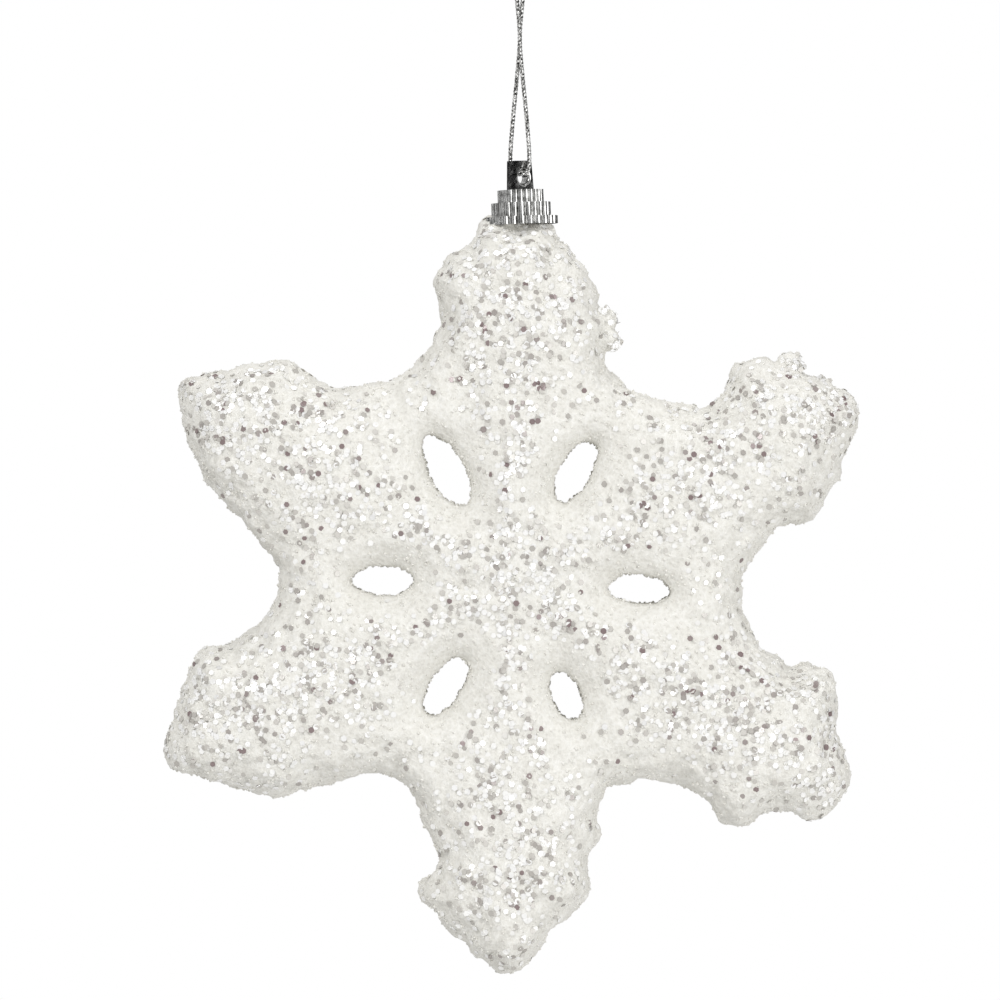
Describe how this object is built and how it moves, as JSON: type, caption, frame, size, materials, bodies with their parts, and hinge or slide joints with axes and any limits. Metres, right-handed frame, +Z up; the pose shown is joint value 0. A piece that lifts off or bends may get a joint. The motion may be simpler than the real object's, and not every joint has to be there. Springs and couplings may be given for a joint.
{
  "type": "hanging snowflake ornament",
  "caption": "Puffy foam snowflake with pierced web, crusted in snow and glitter, hung by a plated ribbed cap and a loop of thin metallic cord.",
  "frame": {"origin": "inside top of the cord loop, just under its knot, where a hook bears", "axes": "+Z up along the hanging cord, the star stands in the XZ plane and its front faces -Y"},
  "size_m": [0.1147, 0.0206, 0.1897],
  "materials": {
    "foam": "matte",
    "snow": "matte",
    "glitter": "gloss",
    "plating": "polished",
    "glue": "satin",
    "cord": "satin"
  },
  "bodies": {
    "hanger": {"cord_upper": "cord", "cord_knot": "cord"},
    "cord_legs": {"cord_lower": "cord"},
    "ornament": {"foam_core": "foam", "snow_coat": "snow", "glitter_flakes": "glitter", "glitter_crumbs": "glitter", "crown_cap": "plating", "cap_glue": "glue"}
  },
  "joints": [
    {"name": "cord_twist", "type": "hinge", "parent": "hanger", "child": "cord_legs", "pos_m": [0, 0, -0.027], "axis": [0, 0, 1], "range_deg": [-180, 180]},
    {"name": "eyelet_swing", "type": "hinge", "parent": "cord_legs", "child": "ornament", "pos_m": [0, 0, -0.05], "axis": [0.6423, -0.766, 0.0247], "range_deg": [-70, 70]}
  ]
}
